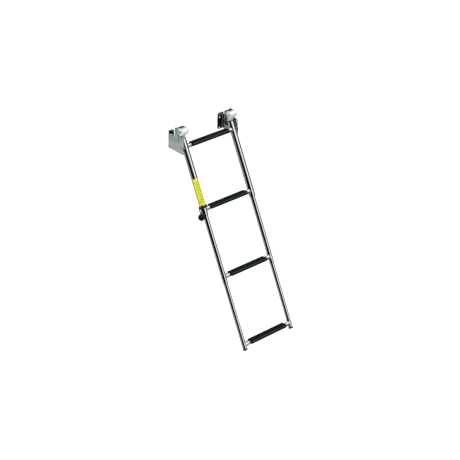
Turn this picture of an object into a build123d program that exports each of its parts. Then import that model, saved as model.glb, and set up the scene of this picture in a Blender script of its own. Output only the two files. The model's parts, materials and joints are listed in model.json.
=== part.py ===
from build123d import *
import os
from math import cos, radians, sin

# Telescoping boat boarding ladder, millimetres.
# Origin: centre of the four-hole transom pattern, on the transom plane (the back faces of the
# two bracket flanges). +X to the climber's right, +Y into the boat, +Z up.
# The ladder is modelled in its own frame, origin on the top rung's axis and Z up along the
# rails, and set into the bracket frame by LADDER.

# ---------------------------------------------------------------- driving dimensions
LEAN = 27.0                       # rails lean from vertical, foot towards the climber
RAIL_X = 134.5                    # half the rail spacing
RUNG_STANDOFF = 88.5              # transom plane to the top rung's axis
RUNG_Z = (0.0, -276.0, -577.0, -884.0)

UPPER_R, UPPER_BORE_R = 14.3, 12.95
MIDDLE_R, MIDDLE_BORE_R = 11.1, 10.1
LOWER_R, LOWER_BORE_R = 9.525, 8.325
RAIL_TOP = 35.7                   # upper rail's top end above the top rung
UPPER_TAIL, MIDDLE_TAIL, LOWER_TAIL = 24.0, 27.0, 18.0

RUNG_R, RUNG_BORE_R = 9.525, 8.0

PLATE = 2.5                       # bracket plate thickness
SADDLE_PLATE = 2.0                # hinge saddle sheet thickness
CHEEK_GAP = 29.6                  # clear width between the saddle's cheeks
FLANGE_WIDTH = 31.0
BRACKET_DEPTH = 101.0
BRACKET_BOTTOM, WEB_TOP, FLANGE_TOP = -30.0, 36.0, 47.0
NECK_FRONT, NECK_BACK, NECK_TOP = -65.5, -42.5, 80.0
WEB_STEP_Z = 11.0
WEB_FRONT_R, NECK_TOP_R, NECK_FOOT_R, STEP_R, FLANGE_CORNER_R = 5.0, 7.0, 8.0, 3.0, 8.0
MOUNT_HOLE_R, MOUNT_HOLE_Z = 3.3, 24.0

PIVOT_Y, PIVOT_Z = -76.5, 68.0
CHEEK_R, EYE_R, LUG_WIDTH = 16.0, 14.5, 28.0
NECK_WIDTH, CAP_HEIGHT = 14.0, 3.2     # lug neck, and the plastic cap it passes through
NECK_FOOT_Y, NECK_FOOT_DEPTH = 0.2, 22.4
LUG_SPIGOT, CROSS_PIN_R, CROSS_PIN_DEPTH = 24.0, 2.5, 13.0
PIN_R, PIN_HOLE_R, BUSH_R, BUSH_FLANGE_R, BUSH_FLANGE = 4.0, 4.05, 6.0, 12.0, 0.75
BOLT_HEAD_R, BOLT_HEAD, BOLT_SOCKET, BOLT_TAIL = 7.0, 4.4, 5.0, 11.5
WASHER_R, WASHER_HOLE_R, WASHER = 8.0, 4.2, 1.6
NUT_FLATS, NUT_HEIGHT, NUT_COLLAR_R, NUT_COLLAR = 13.0, 6.4, 5.6, 2.0
SADDLE_BACK = -47.5               # back face of the saddle's rear wall
LEG_FRONT, LEG_BOTTOM, LEG_TOP = -99.5, 5.0, 46.0
WALL_BOTTOM, CHEEK_BOTTOM, CHEEK_REAR_TOP = 2.0, 52.0, 79.0
CHEEK_REAR_R, SADDLE_BEND, LEG_CORNER_R = 4.0, 3.5, 3.0
BUMPER_R, BUMPER_Z, BUMPER_STEM_R = 8.0, 14.0, 3.0
BARB_R, BARB_TIP_R, BARB_LENGTH = 4.5, 2.5, 5.0

BUSH_LENGTH, BUSH_LIP = 45.0, 1.6
RUNNING_GAP, PRESS_GAP, GUIDE_GAP = 0.05, 0.02, 0.07
STOP_GAP = 0.1
GUIDE_FLANGE, GUIDE_SPIGOT, GUIDE_VENT_R = 6.0, 20.0, 3.0
FOOT_OVERHANG, FOOT_CAP, FOOT_SPIGOT, FOOT_ROUND = 1.0, 7.0, 18.0, 2.5

TREAD_TILT = 15.0                 # treads turned towards level from square to the rails
TREAD_LENGTH = 202.0
TREAD_FRONT, TREAD_BACK = -18.0, 13.0
DECK_TOP, DECK_THICKNESS = 11.2, 2.6
TREAD_LIP, FRONT_LIP_BOTTOM, BACK_LIP_BOTTOM, TREAD_EDGE_R = 3.0, -3.5, 2.0, 2.4
RIB_COUNT, RIB_WIDTH, RIB_HEIGHT, RIB_INSET, RIB_ROUND = 7, 2.2, 1.0, 3.6, 0.5
SLEEVE_R, SLEEVE_OPENING_Z, BRACE_Z, BRACE = 12.2, -6.5, 0.5, 2.4
SCREW_X, SCREW_Z, SCREW_R, SCREW_HEAD_R, SCREW_HEAD = 70.0, -2.5, 2.0, 3.5, 2.2
SCREW_LENGTH, CROSS_SLOT, CROSS_SLOT_WIDTH = 7.5, 4.0, 0.9

LABEL_BOTTOM, LABEL_TOP, LABEL_WRAP, LABEL_THICKNESS = 20.0, 135.5, 154.0, 0.2

CORD_R, LOOP_CORD_R, BALL_R = 2.2, 2.5, 14.5
CORD_START, CORD_NECK_R, KNOT_R, KNOT_INSET = 6.0, 4.2, 5.0, 1.5
BALL_BORE_R, KNOT_POCKET_R, KNOT_POCKET_START = 4.3, 5.5, 7.9
LOOP_ABOVE_RUNG, LOOP_TILT = 10.0, 8.0           # the ball pulls the loop's outer side down
BALL_X, BALL_Y, BALL_DROP = -28.5, -8.0, 36.5    # ball centre from the rail axis and the loop
CORD_ANGLE, CORD_SPREAD = 196.0, 7.0   # where the strands leave the loop, from +X, and half the V

LADDER = Pos(0, -RUNG_STANDOFF, 0) * Rot(-LEAN, 0, 0)
CHEEK_INNER_FACE = RAIL_X + CHEEK_GAP / 2
SADDLE_OUTER_FACE = CHEEK_INNER_FACE + SADDLE_PLATE
WEB_OUTER_FACE = SADDLE_OUTER_FACE + PLATE
INNER_CHEEK_FACE = RAIL_X - CHEEK_GAP / 2 - SADDLE_PLATE


# ---------------------------------------------------------------- helpers
def rod_x(radius, x0, x1, y, z):
    """Round bar along X."""
    return Pos((x0 + x1) / 2, y, z) * Rot(0, 90, 0) * Cylinder(radius, x1 - x0)


def rod_y(radius, y0, y1, x, z):
    """Round bar along Y."""
    return Pos(x, (y0 + y1) / 2, z) * Rot(90, 0, 0) * Cylinder(radius, y1 - y0)


def rod_z(radius, z0, z1, x=0.0, y=0.0):
    """Round bar along Z."""
    return Pos(x, y, (z0 + z1) / 2) * Cylinder(radius, z1 - z0)


def tube_z(outer_r, inner_r, z0, z1, x=0.0):
    """Round tube along Z, centred on y = 0."""
    return rod_z(outer_r, z0, z1, x) - rod_z(inner_r, z0 - 1, z1 + 1, x)


def mirrored(solid):
    """The same piece for the left side."""
    return mirror(solid, about=Plane.YZ)


def to_ladder_frame(y, z):
    """Bracket-frame (y, z) seen from the ladder's own frame."""
    dy, dz = y + RUNG_STANDOFF, z
    lean = radians(LEAN)
    return dy * cos(lean) - dz * sin(lean), dy * sin(lean) + dz * cos(lean)


# ---------------------------------------------------------------- brackets on the boat
def mounting_bracket():
    """L-shaped plate: web in line with the rail, flange against the transom."""
    inner_edge = WEB_OUTER_FACE - FLANGE_WIDTH
    corner = 4.0
    outline = Polyline(
        (WEB_OUTER_FACE, 0), (inner_edge, 0), (inner_edge, -PLATE),
        (WEB_OUTER_FACE - PLATE, -PLATE), (WEB_OUTER_FACE - PLATE, -BRACKET_DEPTH),
        (WEB_OUTER_FACE, -BRACKET_DEPTH), close=True)
    section = make_face(outline)
    bend_out = section.vertices().sort_by_distance((WEB_OUTER_FACE, 0, 0))[0]
    section = fillet(bend_out, corner)
    bend_in = section.vertices().sort_by_distance((WEB_OUTER_FACE - PLATE, -PLATE, 0))[0]
    section = fillet(bend_in, corner - PLATE)
    angle = Pos(0, 0, BRACKET_BOTTOM) * extrude(section, amount=NECK_TOP - BRACKET_BOTTOM)

    web = make_face(Polyline(
        (0, BRACKET_BOTTOM), (-BRACKET_DEPTH, BRACKET_BOTTOM), (-BRACKET_DEPTH, WEB_STEP_Z),
        (NECK_FRONT, WEB_STEP_Z), (NECK_FRONT, NECK_TOP), (NECK_BACK, NECK_TOP),
        (NECK_BACK, WEB_TOP), (-2 * corner, WEB_TOP), (-corner, FLANGE_TOP), (0, FLANGE_TOP),
        close=True))
    front = web.vertices().filter_by(lambda v: abs(v.X + BRACKET_DEPTH) < 1e-6)
    web = fillet(front, WEB_FRONT_R)
    neck_top = web.vertices().filter_by(lambda v: abs(v.Y - NECK_TOP) < 1e-6)
    web = fillet(neck_top, NECK_TOP_R)
    neck_foot = web.vertices().sort_by_distance((NECK_BACK, WEB_TOP, 0))[0]
    web = fillet(neck_foot, NECK_FOOT_R)
    notch = web.vertices().sort_by_distance((NECK_FRONT, WEB_STEP_Z, 0))[0]
    web = fillet(notch, STEP_R)
    side_cut = extrude(Plane.YZ * web, amount=WEB_OUTER_FACE + 1)

    flange = make_face(Polyline(
        (inner_edge, BRACKET_BOTTOM), (WEB_OUTER_FACE, BRACKET_BOTTOM),
        (WEB_OUTER_FACE, NECK_TOP), (WEB_OUTER_FACE - corner, NECK_TOP),
        (WEB_OUTER_FACE - corner, FLANGE_TOP), (inner_edge, FLANGE_TOP), close=True))
    corners = flange.vertices().filter_by(lambda v: abs(v.X - inner_edge) < 1e-6)
    flange = fillet(corners, FLANGE_CORNER_R)
    front_cut = extrude(Plane.XZ * flange, amount=BRACKET_DEPTH)

    bracket = angle & side_cut & front_cut
    for z in (-MOUNT_HOLE_Z, MOUNT_HOLE_Z):
        bracket -= rod_y(MOUNT_HOLE_R, -3 * PLATE, PLATE, RAIL_X, z)
    return bracket


def cheek_outline():
    """Rounded ear about the pivot, running back to the saddle's rear wall."""
    rear = SADDLE_BACK - CHEEK_REAR_R
    ring = [Pos(PIVOT_Y, PIVOT_Z) * Edge.make_circle(CHEEK_R)]
    ring += [Pos(rear, z) * Edge.make_circle(CHEEK_REAR_R)
             for z in (CHEEK_BOTTOM + CHEEK_REAR_R, CHEEK_REAR_TOP - CHEEK_REAR_R)]
    return make_hull(ring)


def hinge_saddle():
    """U-shaped sheet that carries the pivot bolt, with a longer leg inside the web."""
    front = -BRACKET_DEPTH - 10
    wall_front = SADDLE_BACK - SADDLE_PLATE
    section = make_face(Polyline(
        (SADDLE_OUTER_FACE, SADDLE_BACK), (INNER_CHEEK_FACE, SADDLE_BACK),
        (INNER_CHEEK_FACE, front), (INNER_CHEEK_FACE + SADDLE_PLATE, front),
        (INNER_CHEEK_FACE + SADDLE_PLATE, wall_front), (CHEEK_INNER_FACE, wall_front),
        (CHEEK_INNER_FACE, front), (SADDLE_OUTER_FACE, front), close=True))
    outer = section.vertices().filter_by(lambda v: abs(v.Y - SADDLE_BACK) < 1e-6)
    section = fillet(outer, SADDLE_BEND)
    inner = section.vertices().filter_by(lambda v: abs(v.Y - wall_front) < 1e-6)
    section = fillet(inner, SADDLE_BEND - SADDLE_PLATE)
    channel = extrude(section, amount=PIVOT_Z + CHEEK_R + 1)

    ear = cheek_outline()
    leg = Pos((LEG_FRONT + SADDLE_BACK) / 2, (LEG_BOTTOM + LEG_TOP) / 2) * RectangleRounded(
        SADDLE_BACK - LEG_FRONT, LEG_TOP - LEG_BOTTOM, LEG_CORNER_R)
    lap = 4.0
    riser = Pos((PIVOT_Y + SADDLE_BACK) / 2 - lap, (LEG_TOP + PIVOT_Z) / 2 - lap) * Rectangle(
        SADDLE_BACK - PIVOT_Y, PIVOT_Z - LEG_TOP + 2 * lap)
    wall = Pos(SADDLE_BACK - SADDLE_BEND / 2, (WALL_BOTTOM + PIVOT_Z) / 2) * Rectangle(
        SADDLE_BEND, PIVOT_Z - WALL_BOTTOM)
    outer_side = Pos(RAIL_X, 0, 0) * extrude(
        Plane.YZ * (ear + leg + riser), amount=CHEEK_GAP)
    inner_side = Pos(RAIL_X - CHEEK_GAP, 0, 0) * extrude(Plane.YZ * ear, amount=CHEEK_GAP)
    rear = Pos(INNER_CHEEK_FACE, 0, 0) * extrude(
        Plane.YZ * wall, amount=SADDLE_OUTER_FACE - INNER_CHEEK_FACE)
    saddle = channel & (outer_side + inner_side + rear)
    saddle -= rod_x(PIN_HOLE_R, INNER_CHEEK_FACE - 1, SADDLE_OUTER_FACE + 1, PIVOT_Y, PIVOT_Z)
    stem_hole = BUMPER_STEM_R + RUNNING_GAP
    saddle -= rod_y(stem_hole, SADDLE_BACK - 5, SADDLE_BACK + 5, RAIL_X, BUMPER_Z)
    return saddle


def stop_bumper():
    """Push-in rubber bumper that the rail's back rests on when the ladder is down."""
    lean = radians(LEAN)
    reach = UPPER_R + BUMPER_R + STOP_GAP
    centre_y = (reach + BUMPER_Z * sin(lean)) / cos(lean) - RUNG_STANDOFF
    wall_front = SADDLE_BACK - SADDLE_PLATE
    bumper = Pos(RAIL_X, centre_y, BUMPER_Z) * Sphere(BUMPER_R)
    bumper += rod_y(BUMPER_R, centre_y, wall_front, RAIL_X, BUMPER_Z)
    bumper -= rod_y(2 * BUMPER_R, wall_front, wall_front + 3 * BUMPER_R, RAIL_X, BUMPER_Z)
    bumper += rod_y(BUMPER_STEM_R, wall_front, SADDLE_BACK, RAIL_X, BUMPER_Z)
    barb = Pos(RAIL_X, SADDLE_BACK, BUMPER_Z) * Rot(-90, 0, 0) * Cone(
        BARB_R, BARB_TIP_R, BARB_LENGTH, align=(Align.CENTER, Align.CENTER, Align.MIN))
    return bumper + barb


def pivot_bolt():
    """Button-head bolt, head outboard, shank through both cheeks."""
    rim_land, socket_depth = 0.8, 2.6
    bolt = rod_x(PIN_R, INNER_CHEEK_FACE - BOLT_TAIL, SADDLE_OUTER_FACE, PIVOT_Y, PIVOT_Z)
    head_end = SADDLE_OUTER_FACE + BOLT_HEAD
    cap = rod_x(BOLT_HEAD_R, SADDLE_OUTER_FACE, head_end, PIVOT_Y, PIVOT_Z)
    rim = cap.edges().filter_by(GeomType.CIRCLE).sort_by(Axis.X)[-1]
    cap = fillet(rim, BOLT_HEAD - rim_land)
    socket = Pos(head_end, PIVOT_Y, PIVOT_Z) * Rot(0, -90, 0) * extrude(
        RegularPolygon(BOLT_SOCKET / 2, 6, major_radius=False), amount=socket_depth)
    return bolt + cap - socket


def nut_washer():
    """Flat steel washer under the pivot nut."""
    face = INNER_CHEEK_FACE
    return rod_x(WASHER_R, face - WASHER, face, PIVOT_Y, PIVOT_Z) - rod_x(
        WASHER_HOLE_R, face - 2 * WASHER, face + WASHER, PIVOT_Y, PIVOT_Z)


def pivot_nut():
    """Self-locking hexagon nut with its rounded collar."""
    face = INNER_CHEEK_FACE - WASHER
    half = NUT_FLATS / 2
    hexagon = Pos(face, PIVOT_Y, PIVOT_Z) * Rot(0, -90, 0) * extrude(
        RegularPolygon(half, 6, major_radius=False), amount=NUT_HEIGHT)
    chamfering = Pos(face - NUT_HEIGHT / 2, PIVOT_Y, PIVOT_Z) * Rot(0, -90, 0) * Cone(
        half + 2.1, half - 0.1, NUT_HEIGHT)
    outer_end = face - NUT_HEIGHT
    collar = rod_x(NUT_COLLAR_R, outer_end - NUT_COLLAR, outer_end, PIVOT_Y, PIVOT_Z)
    collar = fillet(collar.edges().filter_by(GeomType.CIRCLE).sort_by(Axis.X)[0], 1.2)
    nut = (hexagon & chamfering) + collar
    return nut - rod_x(PIN_HOLE_R, face - 20, face + 1, PIVOT_Y, PIVOT_Z)


# ---------------------------------------------------------------- hinge end of the ladder
def lug_neck_foot():
    """Straight lower end of the lug's neck, where it leaves the spigot."""
    height = CAP_HEIGHT + 0.8
    return Pos(RAIL_X, NECK_FOOT_Y, RAIL_TOP + height / 2) * Box(
        NECK_WIDTH, NECK_FOOT_DEPTH, height)


def hinge_lug():
    """Casting with an eye at the pivot, a flat neck and a spigot pinned into the rail."""
    eye_y, eye_z = to_ladder_frame(PIVOT_Y, PIVOT_Z)
    eye = rod_x(EYE_R, RAIL_X - LUG_WIDTH / 2, RAIL_X + LUG_WIDTH / 2, eye_y, eye_z)
    eye = fillet(eye.edges().filter_by(GeomType.CIRCLE), 1.5)
    corner = 1.0
    foot_y = NECK_FOOT_DEPTH / 2 - corner
    foot_z = RAIL_TOP + CAP_HEIGHT + 1.8
    ring = [Pos(eye_y, eye_z) * Edge.make_circle(EYE_R - 2.0)]
    ring += [Pos(NECK_FOOT_Y + y, foot_z) * Edge.make_circle(corner) for y in (-foot_y, foot_y)]
    neck = Pos(RAIL_X - NECK_WIDTH / 2, 0, 0) * extrude(
        Plane.YZ * make_hull(ring), amount=NECK_WIDTH)
    spigot = rod_z(UPPER_BORE_R - PRESS_GAP, RAIL_TOP - LUG_SPIGOT, RAIL_TOP, RAIL_X)
    lug = eye + neck + lug_neck_foot() + spigot
    lug -= rod_x(BUSH_R, RAIL_X - LUG_WIDTH, RAIL_X + LUG_WIDTH, eye_y, eye_z)
    return lug - cross_pin(CROSS_PIN_R + PRESS_GAP)


def rail_top_cap():
    """Black plastic cap that closes the rail's top end round the lug's neck."""
    fit = 0.1
    cap = rod_z(UPPER_R + 2 * fit, RAIL_TOP, RAIL_TOP + CAP_HEIGHT, RAIL_X)
    cap = fillet(cap.edges().sort_by(Axis.Z)[-1], 1.2)
    return cap - Pos(RAIL_X, NECK_FOOT_Y, RAIL_TOP) * Box(
        NECK_WIDTH + fit, NECK_FOOT_DEPTH + 2 * fit, 20.0)


def cross_pin(radius=CROSS_PIN_R):
    """Pin that locks the lug's spigot in the rail."""
    pin = rod_x(radius, RAIL_X - 20, RAIL_X + 20, 0, RAIL_TOP - CROSS_PIN_DEPTH)
    return pin & rod_z(UPPER_R, 0, RAIL_TOP, RAIL_X)


def pivot_bushes():
    """Two flanged plastic bushes, one from each side of the lug's eye."""
    eye_y, eye_z = to_ladder_frame(PIVOT_Y, PIVOT_Z)
    half = LUG_WIDTH / 2
    pieces = []
    for side in (-1, 1):
        ends = sorted((RAIL_X + side * 0.1, RAIL_X + side * half))
        lip = sorted((RAIL_X + side * half, RAIL_X + side * (half + BUSH_FLANGE)))
        bush = rod_x(BUSH_R, *ends, eye_y, eye_z) + rod_x(BUSH_FLANGE_R, *lip, eye_y, eye_z)
        pieces.append(bush - rod_x(PIN_HOLE_R, RAIL_X - 20, RAIL_X + 20, eye_y, eye_z))
    return pieces


# ---------------------------------------------------------------- telescoping rails
def upper_rail():
    """Largest tube: carries the two upper rungs and the hinge lug."""
    rail = tube_z(UPPER_R, UPPER_BORE_R, RUNG_Z[1] - UPPER_TAIL, RAIL_TOP, RAIL_X)
    hole_r = CROSS_PIN_R + PRESS_GAP
    return rail - rod_x(hole_r, RAIL_X - 20, RAIL_X + 20, 0, RAIL_TOP - CROSS_PIN_DEPTH)


def end_bush(rail_r, bore_r, sliding_r, rail_end):
    """Plastic guide pressed into a rail's lower end, with a lip under the tube."""
    sleeve = rod_z(bore_r - PRESS_GAP, rail_end, rail_end + BUSH_LENGTH, RAIL_X)
    lip = rod_z(rail_r, rail_end - BUSH_LIP, rail_end, RAIL_X)
    lip = fillet(lip.edges().sort_by(Axis.Z)[0], 0.8)
    hole = rod_z(sliding_r + RUNNING_GAP, rail_end - 5, rail_end + BUSH_LENGTH + 5, RAIL_X)
    return sleeve + lip - hole


def guide_plug(rail_bore_r, sliding_r, sliding_bore_r, rail_end):
    """Plug in an inner tube's top end; its flange slides in the tube around it and stops on
    the end bush when the section is fully out."""
    seat = rail_end + BUSH_LENGTH + STOP_GAP
    flange = rod_z(rail_bore_r - GUIDE_GAP, seat, seat + GUIDE_FLANGE, RAIL_X)
    flange = fillet(flange.edges().sort_by(Axis.Z)[-1], 0.8)
    spigot = rod_z(sliding_bore_r - PRESS_GAP, seat - GUIDE_SPIGOT, seat, RAIL_X)
    return flange + spigot - rod_z(GUIDE_VENT_R, seat - 30, seat + 30, RAIL_X)


def inner_rail(outer_r, bore_r, rail_end_above, bottom):
    """Sliding tube from inside the rail above down to its own lower end."""
    top = rail_end_above + BUSH_LENGTH + STOP_GAP
    return tube_z(outer_r, bore_r, bottom, top, RAIL_X)


def foot_plug():
    """Plastic plug that closes the lowest tube."""
    bottom = RUNG_Z[3] - LOWER_TAIL
    cap = rod_z(LOWER_R + FOOT_OVERHANG, bottom - FOOT_CAP, bottom, RAIL_X)
    cap = fillet(cap.edges().sort_by(Axis.Z)[0], FOOT_ROUND)
    return cap + rod_z(LOWER_BORE_R - PRESS_GAP, bottom, bottom + FOOT_SPIGOT, RAIL_X)


# ---------------------------------------------------------------- rungs and treads
def rung_tube(z, rail_r):
    """Cross tube, its ends coped to fit the rails."""
    tube = rod_x(RUNG_R, -RAIL_X, RAIL_X, 0, z) - rod_x(RUNG_BORE_R, -RAIL_X - 1, RAIL_X + 1, 0, z)
    for side in (-1, 1):
        tube -= rod_z(rail_r, z - 30, z + 30, side * RAIL_X)
        tube -= tread_screw_shank(side, z, SCREW_R + PRESS_GAP)
    return tube


def tread_frame(z):
    """Place of a tread on its rung: turned towards level."""
    return Pos(0, 0, z) * Rot(TREAD_TILT, 0, 0)


def tread_screw_shank(side, z, radius=SCREW_R):
    """Shank from behind, through the tread's sleeve into the rung's wall."""
    seat = SLEEVE_R + RUNNING_GAP
    return tread_frame(z) * rod_y(radius, seat - SCREW_LENGTH, seat, side * SCREW_X, SCREW_Z)


def tread_screws(z):
    """The two pan-head screws that fix one tread."""
    seat = SLEEVE_R + RUNNING_GAP
    pieces = []
    for side in (-1, 1):
        x = side * SCREW_X
        head = rod_y(SCREW_HEAD_R, seat, seat + SCREW_HEAD, x, SCREW_Z)
        head = fillet(head.edges().filter_by(GeomType.CIRCLE).sort_by(Axis.Y)[-1], 1.2)
        cross = Box(CROSS_SLOT, SCREW_HEAD, CROSS_SLOT_WIDTH)
        cross += Box(CROSS_SLOT_WIDTH, SCREW_HEAD, CROSS_SLOT)
        head -= Pos(x, seat + SCREW_HEAD, SCREW_Z) * cross
        pieces.append(tread_screw_shank(side, z) + tread_frame(z) * head)
    return pieces


def tread(z):
    """Ribbed plastic tread: a deck with lips, clipped round the rung."""
    middle = (TREAD_BACK + TREAD_FRONT) / 2
    width = TREAD_BACK - TREAD_FRONT
    deck = Pos(middle, DECK_TOP - DECK_THICKNESS / 2) * Rectangle(width, DECK_THICKNESS)
    front_lip = Pos(TREAD_FRONT + TREAD_LIP / 2, (DECK_TOP + FRONT_LIP_BOTTOM) / 2) * Rectangle(
        TREAD_LIP, DECK_TOP - FRONT_LIP_BOTTOM)
    back_lip = Pos(TREAD_BACK - TREAD_LIP / 2, (DECK_TOP + BACK_LIP_BOTTOM) / 2) * Rectangle(
        TREAD_LIP, DECK_TOP - BACK_LIP_BOTTOM)
    outline = deck + front_lip + back_lip
    for corner in ((TREAD_FRONT, DECK_TOP), (TREAD_BACK, DECK_TOP)):
        vertex = outline.vertices().sort_by_distance((*corner, 0))[0]
        outline = fillet(vertex, TREAD_EDGE_R)
    pitch = (width - 2 * RIB_INSET) / (RIB_COUNT - 1)
    for i in range(RIB_COUNT):
        rib = Rectangle(RIB_WIDTH, 2 * RIB_HEIGHT)
        rib = fillet(rib.vertices().group_by(Axis.Y)[-1], RIB_ROUND)
        outline += Pos(TREAD_FRONT + RIB_INSET + i * pitch, DECK_TOP) * rib
    below_sleeve = Pos(0, SLEEVE_OPENING_Z - 20) * Rectangle(60, 40)
    sleeve = Circle(SLEEVE_R) - below_sleeve
    brace = Pos(TREAD_FRONT / 2, BRACE_Z) * Rectangle(-TREAD_FRONT, BRACE)
    outline = outline + sleeve + brace - Circle(RUNG_R + PRESS_GAP)
    body = tread_frame(z) * extrude(Plane.YZ * outline, amount=TREAD_LENGTH / 2, both=True)
    for side in (-1, 1):
        body -= tread_screw_shank(side, z, SCREW_R + PRESS_GAP)
    return body


# ---------------------------------------------------------------- label and bungee
def rail_label():
    """Plain sticker wrapped round the front of the left upper rail."""
    z0, z1 = RUNG_Z[1] + LABEL_BOTTOM, RUNG_Z[1] + LABEL_TOP
    ring = tube_z(UPPER_R + LABEL_THICKNESS, UPPER_R, z0, z1)
    half = radians(LABEL_WRAP / 2)
    reach = 30.0
    wedge = make_face(Polyline(
        (0, 0), (-reach * sin(half), -reach * cos(half)), (-reach, -reach), (reach, -reach),
        (reach * sin(half), -reach * cos(half)), close=True))
    front = Pos(0, 0, z0) * extrude(wedge, amount=z1 - z0)
    return Pos(-RAIL_X, 0, 0) * (ring & front)


LOOP_Z = RUNG_Z[1] + LOOP_ABOVE_RUNG
LOOP_R = UPPER_R + LOOP_CORD_R + 0.3
LOOP = Pos(-RAIL_X, 0, LOOP_Z) * Rot(0, -LOOP_TILT, 0)
BALL_CENTRE = Vector(-RAIL_X + BALL_X, BALL_Y, LOOP_Z - BALL_DROP)


def cord_anchors():
    """Middle and two ends of the line, tangent to the loop, where the strands hang."""
    hang = LOOP * Rot(0, 0, CORD_ANGLE)
    middle, *ends = [(hang * Pos(LOOP_R, y, 0)).position for y in (0, -CORD_SPREAD, CORD_SPREAD)]
    return middle, ends


def bungee_loop():
    """Elastic cord drawn tight round the left rail above the second rung."""
    return LOOP * Torus(LOOP_R, LOOP_CORD_R)


def bar_between(start, end, radius):
    """Round bar from one point to another."""
    along = end - start
    return Plane(origin=start, z_dir=along) * Cylinder(
        radius, along.length, align=(Align.CENTER, Align.CENTER, Align.MIN))


def ball_axis():
    """Unit vector from the ball towards the loop."""
    return (cord_anchors()[0] - BALL_CENTRE).normalized()


def bungee_cord():
    """Two strands from the loop, through the ball, to a stopper knot."""
    up = ball_axis()
    neck = BALL_CENTRE + up * BALL_R
    knot = BALL_CENTRE - up * (BALL_R - KNOT_INSET)
    cord = bar_between(knot, neck, CORD_NECK_R)
    cord += Pos(*knot) * Sphere(KNOT_R) + Pos(*neck) * Sphere(CORD_NECK_R)
    for anchor in cord_anchors()[1]:
        start = anchor + (neck - anchor).normalized() * CORD_START
        cord += bar_between(start, neck, CORD_R)
    return cord


def bungee_ball():
    """Ball handle, bored for the cord and recessed for the knot."""
    up = ball_axis()
    ball = Pos(*BALL_CENTRE) * Sphere(BALL_R)
    below, above = BALL_CENTRE - up * 2 * BALL_R, BALL_CENTRE + up * 2 * BALL_R
    ball -= bar_between(below, above, BALL_BORE_R)
    return ball - bar_between(below, BALL_CENTRE - up * KNOT_POCKET_START, KNOT_POCKET_R)


# ---------------------------------------------------------------- assembly
def both_sides(solid):
    """The right-hand piece and its mirror image."""
    return {"right": solid, "left": mirrored(solid)}


def collect():
    """Every node's solid, or list of separate solids, by name."""
    upper_end = RUNG_Z[1] - UPPER_TAIL
    middle_end = RUNG_Z[2] - MIDDLE_TAIL
    lower_end = RUNG_Z[3] - LOWER_TAIL
    nodes = {}

    boat_side = {
        "mounting_bracket": mounting_bracket(), "hinge_saddle": hinge_saddle(),
        "stop_bumper": stop_bumper(), "pivot_bolt": pivot_bolt(),
    }
    ladder_side = {
        "hinge_lug": hinge_lug(),
        "upper_rail": upper_rail(),
        "middle_rail": inner_rail(MIDDLE_R, MIDDLE_BORE_R, upper_end, middle_end),
        "lower_rail": inner_rail(LOWER_R, LOWER_BORE_R, middle_end, lower_end),
        "upper_end_bush": end_bush(UPPER_R, UPPER_BORE_R, MIDDLE_R, upper_end),
        "middle_end_bush": end_bush(MIDDLE_R, MIDDLE_BORE_R, LOWER_R, middle_end),
        "middle_guide_plug": guide_plug(UPPER_BORE_R, MIDDLE_R, MIDDLE_BORE_R, upper_end),
        "lower_guide_plug": guide_plug(MIDDLE_BORE_R, LOWER_R, LOWER_BORE_R, middle_end),
        "foot_plug": foot_plug(),
    }
    for name, solid in boat_side.items():
        for side, piece in both_sides(solid).items():
            nodes[f"{side}_{name}"] = piece
    for name, solid in ladder_side.items():
        for side, piece in both_sides(solid).items():
            nodes[f"{side}_{name}"] = LADDER * piece

    nodes["pivot_nuts"] = list(both_sides(pivot_nut()).values())
    nodes["pivot_nut_washers"] = list(both_sides(nut_washer()).values())
    nodes["pivot_bushes"] = [LADDER * p for b in pivot_bushes() for p in both_sides(b).values()]
    nodes["rail_top_caps"] = [LADDER * p for p in both_sides(rail_top_cap()).values()]
    nodes["lug_cross_pins"] = [LADDER * p for p in both_sides(cross_pin()).values()]

    rungs = ("top", UPPER_R), ("second", UPPER_R), ("third", MIDDLE_R), ("bottom", LOWER_R)
    for (name, rail_r), z in zip(rungs, RUNG_Z):
        nodes[f"{name}_rung_tube"] = LADDER * rung_tube(z, rail_r)
        nodes[f"{name}_tread"] = LADDER * tread(z)
        nodes[f"{name}_tread_screws"] = [LADDER * s for s in tread_screws(z)]

    nodes["rail_label"] = LADDER * rail_label()
    nodes["bungee_loop"] = LADDER * bungee_loop()
    nodes["bungee_cord"] = LADDER * bungee_cord()
    nodes["bungee_ball"] = LADDER * bungee_ball()
    return nodes


os.makedirs("parts", exist_ok=True)
for node, shape in collect().items():
    solid = Compound(children=shape) if isinstance(shape, list) else shape
    export_step(solid, f"parts/{node}.step")
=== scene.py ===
import json
from math import asin, ceil, cos, pi, radians, sin, sqrt

import bpy
import numpy as np
from mathutils import Matrix, Vector


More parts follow.
